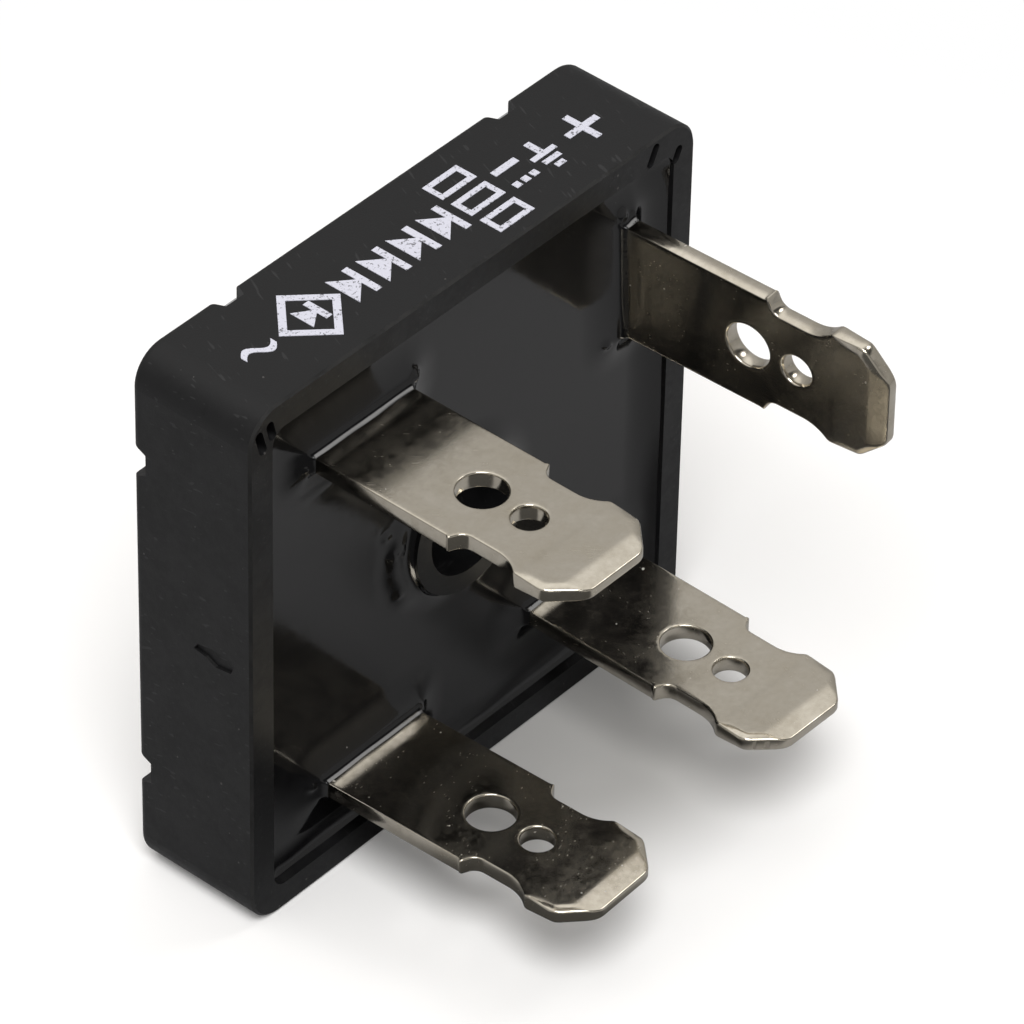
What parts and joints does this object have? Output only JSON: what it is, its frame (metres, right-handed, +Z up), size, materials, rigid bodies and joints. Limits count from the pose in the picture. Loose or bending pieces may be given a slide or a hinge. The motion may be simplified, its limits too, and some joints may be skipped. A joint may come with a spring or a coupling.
{
  "type": "bridge rectifier",
  "caption": "Square potted bridge rectifier in a black plastic case, with quick-connect blade terminals on one face, an aluminium base plate on the other and a central screw hole",
  "frame": {"origin": "middle of the screw hole at the mounting face of the aluminium base plate", "axes": "+Y out of the mounting face, into the surface it is screwed to; the blades point to -Y; +Z up, out of the marked side; +X to the right when seen from the blades"},
  "size_m": [0.0286, 0.0211, 0.0286],
  "materials": {
    "case_plastic": "black moulded plastic, fine satin texture",
    "sleeve_plastic": "black moulded plastic",
    "plate_aluminium": "rolled, bare",
    "sheet_ceramic": "white, matt",
    "potting_resin": "black resin, set glossy",
    "nickel": "nickel-plated brass, satin, with specks and stains",
    "copper": "bare copper",
    "silicon": "dark grey, semi-gloss",
    "solder": "dull grey solder",
    "ink": "white pad-printed ink"
  },
  "bodies": {
    "root": {"case": "case_plastic", "base_plate": "plate_aluminium", "hole_sleeve": "sleeve_plastic", "insulating_sheet": "sheet_ceramic", "potting": "potting_resin", "terminal_positive": "nickel", "terminal_negative": "nickel", "terminal_ac_left": "nickel", "terminal_ac_right": "nickel", "plate_positive": "copper", "plate_negative": "copper", "link_ac_left": "copper", "link_ac_right": "copper", "diode_top": "silicon", "diode_right": "silicon", "diode_bottom": "silicon", "diode_left": "silicon", "solder_under_top": "solder", "solder_under_right": "solder", "solder_under_bottom": "solder", "solder_under_left": "solder", "solder_over_top": "solder", "solder_over_right": "solder", "solder_over_bottom": "solder", "solder_over_left": "solder", "solder_foot_positive": "solder", "solder_foot_negative": "solder", "solder_foot_ac_left": "solder", "solder_foot_ac_right": "solder", "printed_marks": "ink"}
  },
  "joints": []
}
